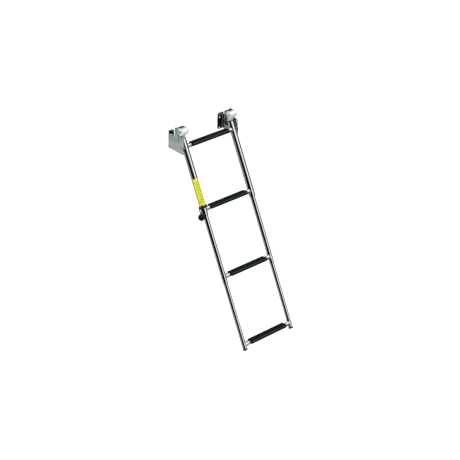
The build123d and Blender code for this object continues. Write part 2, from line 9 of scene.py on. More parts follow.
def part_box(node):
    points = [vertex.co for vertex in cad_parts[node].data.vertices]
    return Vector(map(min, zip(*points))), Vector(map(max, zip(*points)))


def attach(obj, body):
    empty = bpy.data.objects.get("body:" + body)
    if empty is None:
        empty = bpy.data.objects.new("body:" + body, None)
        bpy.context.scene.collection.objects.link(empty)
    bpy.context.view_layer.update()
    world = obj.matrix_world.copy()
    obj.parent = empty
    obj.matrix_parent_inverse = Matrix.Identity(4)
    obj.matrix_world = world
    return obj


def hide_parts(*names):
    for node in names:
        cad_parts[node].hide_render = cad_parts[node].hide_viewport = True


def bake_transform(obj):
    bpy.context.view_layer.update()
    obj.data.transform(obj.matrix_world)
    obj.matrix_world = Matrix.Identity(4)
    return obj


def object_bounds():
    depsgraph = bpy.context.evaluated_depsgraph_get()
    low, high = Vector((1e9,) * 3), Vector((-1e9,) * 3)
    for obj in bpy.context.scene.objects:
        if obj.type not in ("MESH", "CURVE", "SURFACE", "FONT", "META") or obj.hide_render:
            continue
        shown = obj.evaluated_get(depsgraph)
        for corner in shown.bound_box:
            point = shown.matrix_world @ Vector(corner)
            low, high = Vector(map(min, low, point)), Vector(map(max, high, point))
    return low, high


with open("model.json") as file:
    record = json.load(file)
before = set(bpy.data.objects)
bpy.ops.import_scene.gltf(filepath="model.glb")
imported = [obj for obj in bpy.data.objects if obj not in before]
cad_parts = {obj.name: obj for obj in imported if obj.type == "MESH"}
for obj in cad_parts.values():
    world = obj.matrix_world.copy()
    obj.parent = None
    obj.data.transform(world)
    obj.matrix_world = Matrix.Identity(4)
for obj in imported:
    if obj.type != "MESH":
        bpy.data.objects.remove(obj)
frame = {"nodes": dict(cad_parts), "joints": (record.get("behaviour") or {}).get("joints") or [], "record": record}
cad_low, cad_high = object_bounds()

# ------------------------------------------------------------------ places, from the frame
MM = 0.001
NODES = frame["nodes"]
JOINTS = {joint["name"]: joint for joint in frame["joints"]}
SLOTS = {part["node"]: part["material_slot"] for part in frame["record"]["subparts"]}

SLIDE = Vector(JOINTS["middle_slide"]["axis"]).normalized()   # up along the rails
ACROSS = Vector((1.0, 0.0, 0.0))
FACING = SLIDE.cross(ACROSS).normalized()                     # square to the rails, into the boat

RUNG_BODY = {"top": "upper_section", "second": "upper_section",
             "third": "middle_section", "bottom": "lower_section"}
RUNG_RAIL = {"top": "upper_rail", "second": "upper_rail",
             "third": "middle_rail", "bottom": "lower_rail"}
TREAD_TURN = Matrix.Rotation(radians(15.0), 3, "X")           # treads, from square to the rails
TREAD_DEPTH = TREAD_TURN @ FACING                             # across a tread, into the boat
TREAD_UP = TREAD_TURN @ SLIDE                                 # square to a tread's deck


def centre(node):
    """Middle of a CAD node's box."""
    low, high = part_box(node)
    return (low + high) / 2


def width(node):
    """Size of a CAD node along X."""
    low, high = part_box(node)
    return high.x - low.x


# ------------------------------------------------------------------ shader helper
def rgba(value):
    """A socket as it is, or a three-number colour with its alpha."""
    return value if isinstance(value, bpy.types.NodeSocket) else (*value, 1.0)


class Shader:
    """Adds nodes to a tree and wires them by socket name or index."""

    def __init__(self, tree):
        self.tree = tree
        tree.nodes.clear()

    def add(self, kind, sockets=None, **settings):
        node = self.tree.nodes.new(kind)
        for key, value in settings.items():
            setattr(node, key, value)
        for key, value in (sockets or {}).items():
            if isinstance(value, bpy.types.NodeSocket):
                self.tree.links.new(value, node.inputs[key])
            else:
                node.inputs[key].default_value = value
        return node

    def math(self, operation, *values):
        return self.add("ShaderNodeMath", dict(enumerate(values)), operation=operation).outputs[0]

    def dot(self, a, b):
        return self.add("ShaderNodeVectorMath", {0: a, 1: b},
                        operation="DOT_PRODUCT").outputs["Value"]

    def noise(self, vector, scale, detail=2.0):
        return self.add("ShaderNodeTexNoise",
                        {"Vector": vector, "Scale": scale, "Detail": detail}).outputs[0]

    def remap(self, value, low, high, to_low, to_high):
        return self.add("ShaderNodeMapRange", {"Value": value, "From Min": low, "From Max": high,
                                               "To Min": to_low, "To Max": to_high}).outputs[0]

    def step(self, value, low, high):
        """0 at low, 1 at high, smooth between."""
        return self.add("ShaderNodeMapRange", {"Value": value, "From Min": low, "From Max": high},
                        interpolation_type="SMOOTHSTEP").outputs[0]

    def between(self, value, low, high, soft):
        """1 from low to high and 0 outside, each end smoothed by soft to both sides."""
        return self.math("MULTIPLY", self.step(value, low - soft, low + soft),
                         self.step(value, high + soft, high - soft))

    def mix(self, factor, a, b):
        return self.add("ShaderNodeMix", {0: factor, 6: rgba(a), 7: rgba(b)},
                        data_type="RGBA").outputs[2]

    def bump(self, height, distance, normal=None):
        sockets = {"Height": height, "Strength": 1.0, "Distance": distance}
        if normal is not None:
            sockets["Normal"] = normal
        return self.add("ShaderNodeBump", sockets).outputs[0]

    def place(self):
        """Object coordinates, which are the row frame's in metres."""
        return self.add("ShaderNodeTexCoord").outputs["Object"]

    def drawn_out(self, along, share):
        """Coordinates squeezed along one direction, so a noise makes long marks that way."""
        place = self.place()
        parts = []
        for axis, scale in ((along, share), (along.orthogonal(), 1.0),
                            (along.cross(along.orthogonal()), 1.0)):
            parts.append(self.dot(place, tuple(axis.normalized() * scale)))
        return self.add("ShaderNodeCombineXYZ", dict(enumerate(parts))).outputs[0]

    def edges(self, radius):
        """(1 on edges and 0 on flats, the rounded normal)."""
        soft = self.add("ShaderNodeBevel", {"Radius": radius}, samples=4).outputs[0]
        true = self.add("ShaderNodeNewGeometry").outputs["Normal"]
        return self.step(self.dot(soft, true), 0.995, 0.85), soft

    def surface(self, sockets):
        shader = self.add("ShaderNodeBsdfPrincipled", sockets)
        self.add("ShaderNodeOutputMaterial", {"Surface": shader.outputs[0]})


def new_material(name):
    material = bpy.data.materials.new(name)
    material.use_nodes = True
    return material, Shader(material.node_tree)


# ------------------------------------------------------------------ materials
def steel_look(s, colour, along, rough, wobble, edge_radius):
    """(tone, roughness, normal) of mirror-polished stainless: faint long polishing lines, a slow
    ripple and hand marks."""
    place = s.place()
    lines = s.noise(s.drawn_out(along, 0.012), 2600.0, 3.0)
    smudge = s.noise(place, 34.0, 4.0)
    speck = s.noise(place, 900.0, 2.0)
    slow = s.noise(place, 16.0, 1.0)
    edge, soft = s.edges(edge_radius)
    roughness = s.math("ADD", s.remap(smudge, 0.42, 0.72, rough, rough * 2.2),
                       s.remap(speck, 0.68, 0.78, 0.0, 0.10))
    normal = s.bump(slow, wobble, s.bump(lines, 0.9e-6, soft))
    dull = tuple(c * 0.9 for c in colour)
    tone = s.mix(s.remap(smudge, 0.35, 0.8, 0.0, 1.0), colour, dull)
    tone = s.mix(s.math("MULTIPLY", edge, 0.35), tone, (0.93, 0.94, 0.94))
    return tone, roughness, normal


def polished_steel(name, colour, along, rough, wobble, edge_radius):
    """Stainless polished all over."""
    material, s = new_material(name)
    tone, roughness, normal = steel_look(s, colour, along, rough, wobble, edge_radius)
    s.surface({"Base Color": tone, "Metallic": 1.0, "Roughness": roughness, "Normal": normal})
    return material


EAR_R = 17.2 * MM                     # satin ears end here, round the pivot
EAR_FADE = 1.0 * MM
EAR_METAL_CUT = 0.56                  # how much less metallic the ears are
EAR_ROUGHER = 0.26


def saddle_steel(colour, along, rough, wobble, edge_radius):
    """Polished sheet whose two round ears are blasted to a bright satin about the pivot."""
    material, s = new_material("saddle_stainless")
    tone, roughness, normal = steel_look(s, colour, along, rough, wobble, edge_radius)
    pivot = Vector(JOINTS["ladder_swing"]["pos_m"])
    away = s.add("ShaderNodeVectorMath", {0: s.place(), 1: tuple(pivot)}, operation="SUBTRACT")
    flat = s.add("ShaderNodeVectorMath", {0: away.outputs[0], 1: (0.0, 1.0, 1.0)},
                 operation="MULTIPLY")
    reach = s.add("ShaderNodeVectorMath", {0: flat.outputs[0]}, operation="LENGTH")
    ear = s.step(reach.outputs["Value"], EAR_R, EAR_R - EAR_FADE)
    grain = s.noise(s.place(), 420.0, 4.0)
    blasted = s.mix(grain, (0.80, 0.82, 0.815), (0.94, 0.95, 0.945))
    s.surface({"Base Color": s.mix(ear, tone, blasted),
               "Metallic": s.math("SUBTRACT", 1.0, s.math("MULTIPLY", ear, EAR_METAL_CUT)),
               "Roughness": s.math("ADD", roughness, s.math("MULTIPLY", ear, EAR_ROUGHER)),
               "Normal": normal})
    return material


def satin_steel(name, colour, along):
    """Bead-blasted and wiped stainless: bright, even sheen with fine lines and dull marks."""
    material, s = new_material(name)
    place = s.place()
    lines = s.noise(s.drawn_out(along, 0.03), 1800.0, 3.0)
    marks = s.noise(place, 70.0, 5.0)
    edge, soft = s.edges(0.6 * MM)
    dull = tuple(c * 0.88 for c in colour)
    tone = s.mix(s.remap(marks, 0.35, 0.75, 0.0, 1.0), colour, dull)
    tone = s.mix(s.math("MULTIPLY", edge, 0.5), tone, (0.96, 0.96, 0.96))
    s.surface({"Base Color": tone, "Metallic": 0.54,
               "Roughness": s.remap(marks, 0.3, 0.8, 0.28, 0.42),
               "Normal": s.bump(lines, 6e-6, soft)})
    return material


def fastener_steel():
    """Turned and pressed stainless: finer, duller, with machining lines."""
    material, s = new_material("fastener_stainless")
    lines = s.noise(s.drawn_out(ACROSS, 8.0), 900.0, 3.0)
    marks = s.noise(s.place(), 160.0, 4.0)
    edge, soft = s.edges(0.25 * MM)
    tone = s.mix(marks, (0.56, 0.57, 0.58), (0.70, 0.71, 0.71))
    tone = s.mix(edge, tone, (0.85, 0.86, 0.86))
    s.surface({"Base Color": tone, "Metallic": 1.0,
               "Roughness": s.remap(marks, 0.3, 0.8, 0.16, 0.34),
               "Normal": s.bump(lines, 6e-6, soft)})
    return material


def weld_steel():
    """Polished-over weld bead with a trace of straw and blue heat tint."""
    material, s = new_material("weld_stainless")
    tint = s.noise(s.place(), 260.0, 3.0)
    tone = s.mix(s.step(tint, 0.45, 0.7), (0.68, 0.68, 0.67), (0.64, 0.60, 0.53))
    tone = s.mix(s.step(tint, 0.64, 0.8), tone, (0.50, 0.52, 0.56))
    s.surface({"Base Color": tone, "Metallic": 1.0,
               "Roughness": s.remap(tint, 0.3, 0.8, 0.14, 0.36),
               "Normal": s.bump(s.noise(s.place(), 1500.0, 2.0), 1.2e-5)})
    return material


NOSING_HIGHLIGHT_LOW = 2.95 * MM                 # painted highlight strip's height range, from the tread's middle
NOSING_HIGHLIGHT_HIGH = 5.35 * MM
NOSING_HIGHLIGHT_FADE = 0.35 * MM
NOSING_HIGHLIGHT_FRONT = -14.55 * MM             # painted highlight only in front of this
# pale tone painted along each tread's nosing as a highlight
NOSING_HIGHLIGHT_TONE = (0.064, 0.084, 0.092)


def nosing_highlight_mask(s, tread):
    """Mask for the painted highlight: 1 along the top of a tread's front face, where it turns over to the deck, 0
    elsewhere.
    """
    place = s.place()
    middle = centre(tread)
    behind = s.math("SUBTRACT", s.dot(place, tuple(TREAD_DEPTH)), middle.dot(TREAD_DEPTH))
    above = s.math("SUBTRACT", s.dot(place, tuple(TREAD_UP)), middle.dot(TREAD_UP))
    strip = s.between(above, NOSING_HIGHLIGHT_LOW, NOSING_HIGHLIGHT_HIGH, NOSING_HIGHLIGHT_FADE)
    in_front = s.step(behind, NOSING_HIGHLIGHT_FRONT + 0.25 * MM, NOSING_HIGHLIGHT_FRONT - 0.25 * MM)
    return s.math("MULTIPLY", strip, in_front)


def moulded_plastic(name, dark, light, rough, grain, gloss=0.5, wear_tone=0.035, tread=None):
    """Moulded plastic: fine grain, slow colour change, paler rubbed edges. A tread's front edge
    carries a pale painted highlight along its nosing, broken up by scuff streaks."""
    material, s = new_material(name)
    place = s.place()
    cloud = s.noise(place, 28.0, 4.0)
    grain_height = s.add("ShaderNodeTexVoronoi", {"Vector": place, "Scale": 1500.0}).outputs[0]
    scuff_and_highlight_streaks = s.noise(s.drawn_out(ACROSS, 0.05), 420.0, 4.0)
    edge, soft = s.edges(0.6 * MM)
    tone = s.mix(s.remap(cloud, 0.3, 0.75, 0.0, 1.0), dark, light)
    rubbed = tuple(min(1.0, wear_tone + 1.6 * c) for c in light)
    wear = s.math("MULTIPLY", edge, s.remap(scuff_and_highlight_streaks, 0.35, 0.7, 0.15, 0.85))
    tone = s.mix(wear, tone, rubbed)
    if tread is not None:
        # painted highlight: pale strip along the tread's nosing, broken up by scuff streaks
        painted_highlight = s.math("MULTIPLY", nosing_highlight_mask(s, tread), s.remap(scuff_and_highlight_streaks, 0.3, 0.7, 0.45, 1.0))
        tone = s.mix(painted_highlight, tone, NOSING_HIGHLIGHT_TONE)
    roughness = s.math("ADD", s.remap(cloud, 0.3, 0.8, rough - 0.06, rough + 0.08),
                       s.remap(scuff_and_highlight_streaks, 0.6, 0.8, 0.0, 0.12))
    s.surface({"Base Color": tone, "Roughness": roughness, "Specular IOR Level": gloss,
               "Normal": s.bump(grain_height, grain, soft)})
    return material


def rubber(name, dark, light, pits):
    """Moulded rubber with pits, bloom and a soft sheen."""
    material, s = new_material(name)
    place = s.place()
    bloom = s.noise(place, 90.0, 5.0)
    pit = s.add("ShaderNodeTexVoronoi", {"Vector": place, "Scale": 2300.0}).outputs[0]
    tone = s.mix(s.remap(bloom, 0.35, 0.75, 0.0, 1.0), dark, light)
    normal = s.bump(pit, pits, s.bump(bloom, 2.5e-5))
    s.surface({"Base Color": tone, "Roughness": s.remap(bloom, 0.3, 0.8, 0.34, 0.58),
               "Specular IOR Level": 0.14, "Normal": normal})
    return material


def braided_cord():
    """Black polyester sheath: raised threads painted lighter as a painted glint, hollows painted darker as painted
    shade, the odd pale pick.
    """
    material, s = new_material("elastic_cord")
    place = s.place()
    thread = s.noise(place, 3200.0, 2.0)
    fleck = s.noise(place, 700.0, 1.0)
    # painted glint and shade: tone follows the weave's bump, lighter on raised threads, darker in hollows
    tone = s.mix(thread, (0.003, 0.003, 0.004), (0.018, 0.018, 0.021))
    tone = s.mix(s.step(fleck, 0.70, 0.74), tone, (0.09, 0.09, 0.10))
    s.surface({"Base Color": tone, "Roughness": 0.72, "Sheen Weight": 0.03,
               "Sheen Roughness": 0.4, "Specular IOR Level": 0.15,
               "Normal": s.bump(thread, 3.5e-5)})
    return material


RULE_INSET = 5.7 * MM                 # middle of each rule, from the label's end
RULE_HALF = 0.7 * MM                  # half its thickness
TICK_PITCH = 11.0 * MM
TICK_HALF = 1.35 * MM
TICK_INSET = 9.2 * MM                 # no ticks nearer the label's end than this
TICKS_LEFT = -8.7 * MM                # ticks' ends, from the rail's middle
TICKS_RIGHT = 7.7 * MM
PRINT_TONE = (0.03, 0.03, 0.02)


def label_vinyl():
    """Yellow vinyl: glossy film over a faint orange peel, with even ticks between two rules."""
    material, s = new_material("label_vinyl")
    place = s.place()
    peel = s.noise(place, 520.0, 2.0)
    fade = s.noise(place, 22.0, 3.0)
    tone = s.mix(s.remap(fade, 0.3, 0.75, 0.0, 1.0), (0.56, 0.55, 0.010), (0.63, 0.62, 0.016))

    low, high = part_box("rail_label")
    half = 0.5 * (high.z - low.z) * SLIDE.z    # nearly half the label's length
    middle = centre("rail_label").dot(SLIDE)
    reach = s.math("ABSOLUTE", s.math("SUBTRACT", s.dot(place, tuple(SLIDE)), middle))
    rule_at = half - RULE_INSET
    rule = s.between(reach, rule_at - RULE_HALF, rule_at + RULE_HALF, 0.2 * MM)
    right = s.add("ShaderNodeSeparateXYZ", {0: place}).outputs[0]
    off_centre = s.math("SUBTRACT", right, centre("left_upper_rail").x)
    band = s.between(off_centre, TICKS_LEFT, TICKS_RIGHT, 0.3 * MM)
    tick = s.step(s.math("PINGPONG", reach, TICK_PITCH / 2), TICK_HALF + 0.15 * MM,
                  TICK_HALF - 0.15 * MM)
    inside = s.step(reach, half - TICK_INSET + 0.2 * MM, half - TICK_INSET - 0.2 * MM)
    ticks = s.math("MULTIPLY", tick, s.math("MULTIPLY", band, inside))
    tone = s.mix(s.math("MAXIMUM", rule, s.math("MULTIPLY", ticks, 0.75)), tone, PRINT_TONE)
    s.surface({"Base Color": tone, "Roughness": s.remap(fade, 0.3, 0.8, 0.22, 0.36),
               "Coat Weight": 0.2, "Coat Roughness": 0.10, "Normal": s.bump(peel, 6e-6)})
    return material


def make_materials():
    """One procedural material for each of the record's slots, with its own for the rungs, the
    saddles, the welds, the teeth and each tread."""
    tube = (0.74, 0.75, 0.745)
    plate = (0.72, 0.735, 0.725)
    upright = Vector((0.0, 0.0, 1.0))
    tube_finish = {"rough": 0.035, "wobble": 1.5e-5, "edge_radius": 0.2 * MM}
    plate_finish = {"rough": 0.07, "wobble": 2.5e-5, "edge_radius": 0.5 * MM}
    tread_finish = {"rough": 0.30, "grain": 3e-5, "gloss": 0.09, "wear_tone": 0.010}
    looks = {
        "tube_stainless": polished_steel("tube_stainless", tube, SLIDE, **tube_finish),
        "rung_stainless": polished_steel("rung_stainless", tube, ACROSS, **tube_finish),
        "bracket_stainless": polished_steel("bracket_stainless", plate, upright, **plate_finish),
        "saddle_stainless": saddle_steel(plate, upright, **plate_finish),
        "cast_stainless": satin_steel("cast_stainless", (0.88, 0.89, 0.885), SLIDE),
        "fastener_stainless": fastener_steel(),
        "weld_stainless": weld_steel(),
        "tread_grip": moulded_plastic("tread_grip", dark=(0.0020, 0.0055, 0.0075),
                                      light=(0.0035, 0.0095, 0.0120), **tread_finish),
        "collar_plastic": moulded_plastic("collar_plastic", dark=(0.004, 0.004, 0.005),
                                          light=(0.010, 0.010, 0.012), rough=0.34, grain=2e-5,
                                          gloss=0.3, wear_tone=0.012),
        "guide_nylon": moulded_plastic("guide_nylon", dark=(0.48, 0.46, 0.40),
                                       light=(0.62, 0.60, 0.54), rough=0.42, grain=1.5e-5),
        "bumper_rubber": rubber("bumper_rubber", dark=(0.010, 0.010, 0.010),
                                light=(0.030, 0.030, 0.029), pits=3e-5),
        "ball_rubber": rubber("ball_rubber", dark=(0.0015, 0.0015, 0.002),
                              light=(0.004, 0.004, 0.005), pits=2e-5),
        "elastic_cord": braided_cord(),
        "label_vinyl": label_vinyl(),
    }
    for rung in RUNG_BODY:
        looks[f"{rung}_tread"] = moulded_plastic(
            f"{rung}_tread_plastic", dark=(0.0014, 0.0042, 0.0060),
            light=(0.0028, 0.0078, 0.0102), tread=f"{rung}_tread", **tread_finish)
    return looks


MATERIALS = make_materials()


def dress(piece, look):
    """Gives the piece the material of the given look."""
    piece.data.materials.clear()
    piece.data.materials.append(MATERIALS[look])


# ------------------------------------------------------------------ mesh helpers
def new_mesh(name, vertices, faces):
    mesh = bpy.data.meshes.new(name)
    mesh.from_pydata([tuple(v) for v in vertices], [], faces)
    mesh.validate()
    mesh.update()
    mesh.shade_smooth()
    piece = bpy.data.objects.new(name, mesh)
    bpy.context.scene.collection.objects.link(piece)
    return piece


def join_meshes(name, parts):
    """One object from several (vertices, faces) lists."""
    vertices, faces = [], []
    for part_vertices, part_faces in parts:
        base = len(vertices)
        vertices.extend(part_vertices)
        faces.extend([tuple(base + i for i in face) for face in part_faces])
    return new_mesh(name, vertices, faces)


def rows(points):
    """Points as an array with one row each."""
    return np.array([tuple(p) for p in points], float)


CURVE_POINTS = 40                      # points worked out between two given ones


def smooth_path(points, step):
    """Even points, step apart, along a Catmull-Rom curve through the given ones."""
    p = rows(points)
    p = np.vstack([2 * p[0] - p[1], p, 2 * p[-1] - p[-2]])
    t = np.linspace(0.0, 1.0, CURVE_POINTS, endpoint=False)[:, None]
    fine = []
    for a, b, c, d in zip(p[:-3], p[1:-2], p[2:-1], p[3:]):
        fine.append(0.5 * (2 * b + (c - a) * t + (2 * a - 5 * b + 4 * c - d) * t ** 2
                           + (3 * b - a - 3 * c + d) * t ** 3))
    fine = np.vstack(fine + [p[-2:-1]])
    return even_path(fine, step)


def even_path(points, step):
    """The same polyline with points evenly spaced."""
    points = rows(points)
    run = np.concatenate([[0.0], np.cumsum(np.linalg.norm(np.diff(points, axis=0), axis=1))])
    count = max(3, int(ceil(run[-1] / step)))
    wanted = np.linspace(0.0, run[-1], count)
    return np.column_stack([np.interp(wanted, run, points[:, k]) for k in range(3)])


SIDE_START = (0.31, 0.77, 0.55)        # lies along no path here, so a swept bar can start from it


def sweep(path, radius, sides, relief=None, closed=False):
    """(vertices, faces) of a round bar along a path. relief(run, angle) adds to the radius."""
    path = rows(path)
    count = len(path)
    if closed:
        tangent = np.roll(path, -1, 0) - np.roll(path, 1, 0)
    else:
        tangent = np.gradient(path, axis=0)
    tangent /= np.linalg.norm(tangent, axis=1)[:, None]
    side = np.cross(tangent[0], SIDE_START)
    u = []
    for t in tangent:
        side = side - t * (side @ t)
        side /= np.linalg.norm(side)
        u.append(side.copy())
    u = np.array(u)
    v = np.cross(tangent, u)
    run = np.concatenate([[0.0], np.cumsum(np.linalg.norm(np.diff(path, axis=0), axis=1))])
    angle = np.linspace(0.0, 2 * pi, sides, endpoint=False)
    r = np.broadcast_to(np.asarray(radius, float).reshape(-1, 1), (count, sides)).copy()
    if relief is not None:
        r += relief(run[:, None], angle[None, :])
    rings = (path[:, None, :] + r[:, :, None] * (np.cos(angle)[None, :, None] * u[:, None, :]
                                                 + np.sin(angle)[None, :, None] * v[:, None, :]))
    vertices = [tuple(p) for p in rings.reshape(-1, 3)]
    faces = []
    for i in range(count if closed else count - 1):
        j = (i + 1) % count
        for k in range(sides):
            m = (k + 1) % sides
            faces.append((i * sides + k, i * sides + m, j * sides + m, j * sides + k))
    if not closed:
        faces.append(tuple(range(sides))[::-1])
        faces.append(tuple((count - 1) * sides + k for k in range(sides)))
    return vertices, faces


def turned(profile, origin, axis, segments):
    """(vertices, faces) of a closed (radius, height) profile turned about an axis."""
    axis = axis.normalized()
    u = axis.orthogonal().normalized()
    v = axis.cross(u)
    vertices, faces = [], []
    count = len(profile)
    for i in range(segments):
        a = 2 * pi * i / segments
        out = u * cos(a) + v * sin(a)
        vertices.extend(tuple(origin + out * r + axis * h) for r, h in profile)
    for i in range(segments):
        j = (i + 1) % segments
        for k in range(count):
            m = (k + 1) % count
            faces.append((i * count + k, j * count + k, j * count + m, i * count + m))
    return vertices, faces


# ------------------------------------------------------------------ welds
BEAD_R = 1.4 * MM
BEAD_PROUD = 0.6 * MM                 # bead's middle off the rail, so it stays out of the bore
BEAD_PITCH = 1.7 * MM
BEAD_SCALLOP = 0.16                   # scallops' height, as a share of the bead's radius
BEAD_STEP = 0.28 * MM
BEAD_SIDES = 10
JOINT_POINTS = 240                    # points round the end of a rung
TAPER_START = 0.25                    # size of an open bead's end, as a share of the whole
TAPER_POINTS = 8.0                    # points in which it would grow by one whole

STEP_Z = 11.0 * MM                    # top of the bracket's web in front of its neck
STEP_R = 3.0 * MM                     # web's inner corner there
STEP_POINTS = 6
NECK_FRONT = -65.5 * MM               # front edge of the web's neck
LEG_TOP = 46.0 * MM                   # top of the saddle's long leg
STEP_BEAD_END = 5.0 * MM              # bead stops this far behind the saddle's front
WALL_BEAD = 28.0 * MM                 # length of the bead behind the saddle's wall
BEAD_INSET = 2.0 * MM                 # upright beads stop this far from an edge


def bead(path, closed=False):
    """Weld bead of overlapping scallops along a path, its ends tapering."""

    def scallops(run, angle):
        return BEAD_SCALLOP * BEAD_R * np.abs(np.sin(pi * run / BEAD_PITCH)) * np.ones_like(angle)

    radius = np.full(len(path), BEAD_R)
    if not closed:
        ends = np.minimum(np.arange(len(path)), np.arange(len(path))[::-1])
        radius *= np.clip(TAPER_START + ends / TAPER_POINTS, TAPER_START, 1.0)
    return sweep(path, radius, BEAD_SIDES, scallops, closed)


def rung_joint(rung, side):
    """Closed curve where a rung meets a rail."""
    rail = f"{'left' if side < 0 else 'right'}_{RUNG_RAIL[rung]}"
    low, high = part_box(f"{rung}_rung_tube")
    rung_r = (high.z - low.z) / 2
    rail_r = width(rail) / 2
    rail_x = centre(rail).x
    middle = centre(f"{rung}_rung_tube")
    points = []
    for i in range(JOINT_POINTS):
        t = 2 * pi * i / JOINT_POINTS
        deep = rung_r * cos(t)
        inset = sqrt(rail_r ** 2 - deep ** 2) + BEAD_PROUD
        place = middle + FACING * deep + SLIDE * (rung_r * sin(t))
        place.x = rail_x - side * inset
        points.append(place)
    return points


def rung_welds():
    """Beads round both ends of every rung."""
    for rung, body in RUNG_BODY.items():
        welds = join_meshes(f"{rung}_rung_welds", [bead(rung_joint(rung, side), closed=True)
                                                   for side in (-1, 1)])
        dress(welds, "weld_stainless")
        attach(welds, body)


def saddle_welds():
    """Beads that join each saddle to its bracket: along the web's step, and behind the wall."""
    for side, name in ((-1, "left"), (1, "right")):
        low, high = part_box(f"{name}_hinge_saddle")
        face_x = low.x if side < 0 else high.x
        step = [(face_x, NECK_FRONT, LEG_TOP - BEAD_INSET)]
        for i in range(STEP_POINTS + 1):
            a = pi / 2 * i / STEP_POINTS
            step.append((face_x, NECK_FRONT - STEP_R * (1 - cos(a)),
                         STEP_Z + STEP_R * (1 - sin(a))))
        step.append((face_x, low.y + STEP_BEAD_END, STEP_Z))
        wall_foot = low.z + BEAD_INSET
        wall = [(face_x, high.y, wall_foot), (face_x, high.y, wall_foot + WALL_BEAD)]
        parts = [bead(even_path(path, BEAD_STEP)) for path in (step, wall)]
        welds = join_meshes(f"{name}_saddle_welds", parts)
        dress(welds, "weld_stainless")
        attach(welds, "brackets")


# ------------------------------------------------------------------ tread grip
TOOTH_PITCH = 3.2 * MM
TOOTH_LENGTH = 1.9 * MM
TOOTH_DEPTH = 1.5 * MM
TOOTH_HEIGHT = 0.55 * MM
TOOTH_SUNK = 0.3 * MM                 # foot below the rib's top
TOOTH_TIP = 0.72                      # tip's size, as a share of the foot's
GRIP_MARGIN = 6.0 * MM                # length of tread without teeth, both ends together
RIB_GAP = 1.9 * MM                    # points further apart than this belong to two ribs
RIB_TOP = 0.02 * MM                   # points this near the highest are on a rib's top


def rib_lines(node):
    """(depth positions of the ribs, height of their tops) about a tread's box centre."""
    middle = centre(node)
    places = [v.co - middle for v in NODES[node].data.vertices]
    top = max(p.dot(TREAD_UP) for p in places)
    on_top = sorted(p.dot(TREAD_DEPTH) for p in places if p.dot(TREAD_UP) > top - RIB_TOP)
    ribs = [[on_top[0]]]
    for value in on_top[1:]:
        if value - ribs[-1][-1] > RIB_GAP:
            ribs.append([value])
        else:
            ribs[-1].append(value)
    return [(rib[0] + rib[-1]) / 2 for rib in ribs], top


def tooth(middle):
    """Low pyramid with its tip cut off, its foot sunk in the rib."""
    vertices = []
    for share, height in ((1.0, -TOOTH_SUNK), (1.0, 0.0), (TOOTH_TIP, TOOTH_HEIGHT)):
        for across, deep in ((-1, -1), (1, -1), (1, 1), (-1, 1)):
            vertices.append(middle + ACROSS * (across * TOOTH_LENGTH / 2 * share)
                            + TREAD_DEPTH * (deep * TOOTH_DEPTH / 2 * share) + TREAD_UP * height)
    faces = [(3, 2, 1, 0), (8, 9, 10, 11)]
    for ring in (0, 4):
        faces += [(ring + k, ring + (k + 1) % 4, ring + 4 + (k + 1) % 4, ring + 4 + k)
                  for k in range(4)]
    return vertices, faces


def tread_grip():
    """Rows of moulded teeth along every rib, each row half a pitch from the next."""
    for rung, body in RUNG_BODY.items():
        node = f"{rung}_tread"
        lines, top = rib_lines(node)
        count = int((width(node) - GRIP_MARGIN) / TOOTH_PITCH)
        parts = []
        for row, line in enumerate(lines):
            start = centre(node) + TREAD_DEPTH * line + TREAD_UP * top
            for i in range(count):
                shift = (i - (count - 1) / 2 + 0.25 * (-1) ** row) * TOOTH_PITCH
                parts.append(tooth(start + ACROSS * shift))
        teeth = join_meshes(f"{rung}_tread_grip", parts)
        teeth.data.shade_flat()
        dress(teeth, "tread_grip")
        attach(teeth, body)


# ------------------------------------------------------------------ bungee
CORD_R = 2.1 * MM
CORD_STEP = 0.3 * MM
CORD_SIDES = 32
WEAVE_STRANDS = 8
WEAVE_PITCH = 7.0 * MM
WEAVE_DEPTH = 0.16 * MM
WEAVE_SUNK = 0.4                      # share of the depth that lies inside the cord's radius

LOOP_START = radians(8.0)             # loop's two ends, as angles round the rail from the strands
LOOP_END = radians(352.0)
LOOP_STEPS = 90
LOOP_GAP = 2.04 * CORD_R              # between the loop's two turns
BIGHT_STEPS = 12
BIGHT_REACH = 3.2                     # how far the bight runs on round the rail, per its swing
BIGHT_OUT = 2.0                       # how far it stands off the rail, per its swing

V_HALF = 7.0 * MM                     # half the gap between the strands where they leave the loop
STRAND_TUCK = 0.4 * MM                # strands start this far inside the loop
STRAND_OUT = 2.2 * MM                 # then bulge this far out
STRAND_FALL = 5.0 * MM                # at this depth

KNOT_DEEP = 2.6 * MM                  # knot's middle, up inside the ball's foot
KNOT_R = CORD_R * 0.82                # cord pulled thin in the knot
KNOT_SPREAD = 1.05 * MM
KNOT_LIFT = 1.25 * MM
KNOT_POINTS = 160
KNOT_SIDES = 28
KNOT_TAIL = ((1.2 * MM, 0.0), (1.8 * MM, 2.6 * MM), (2.2 * MM, 4.4 * MM))    # (out, down)

BORE_R = 4.3 * MM                     # ball's hole for the two strands
POCKET_R = 5.5 * MM                   # pocket for the knot
POCKET_ROOF = -7.9 * MM               # from the ball's middle
LIP_R = 0.7 * MM                      # rounding of both mouths
SEAM_HEIGHT = 0.14 * MM
SEAM_WIDTH = 0.45 * MM
BALL_STEPS = 72
BALL_SEGMENTS = 96


def weave(run, angle):
    """Two sets of strands crossing over and under."""
    half = WEAVE_STRANDS / 2
    a = half * (angle + 2 * pi * run / WEAVE_PITCH)
    b = half * (angle - 2 * pi * run / WEAVE_PITCH)
    return WEAVE_DEPTH * (np.maximum(np.cos(a), np.cos(b)) - WEAVE_SUNK)


def cord(path):
    return sweep(even_path(path, CORD_STEP), CORD_R, CORD_SIDES, weave)


def bungee_places():
    """(hinge point on the loop, its direction from the rail's middle, the hinge's direction)."""
    pivot = Vector(JOINTS["bungee_swing"]["pos_m"])
    out = (pivot - centre("bungee_loop")).normalized()
    along = Vector(JOINTS["bungee_swing"]["axis"]).normalized()
    return pivot, out, along


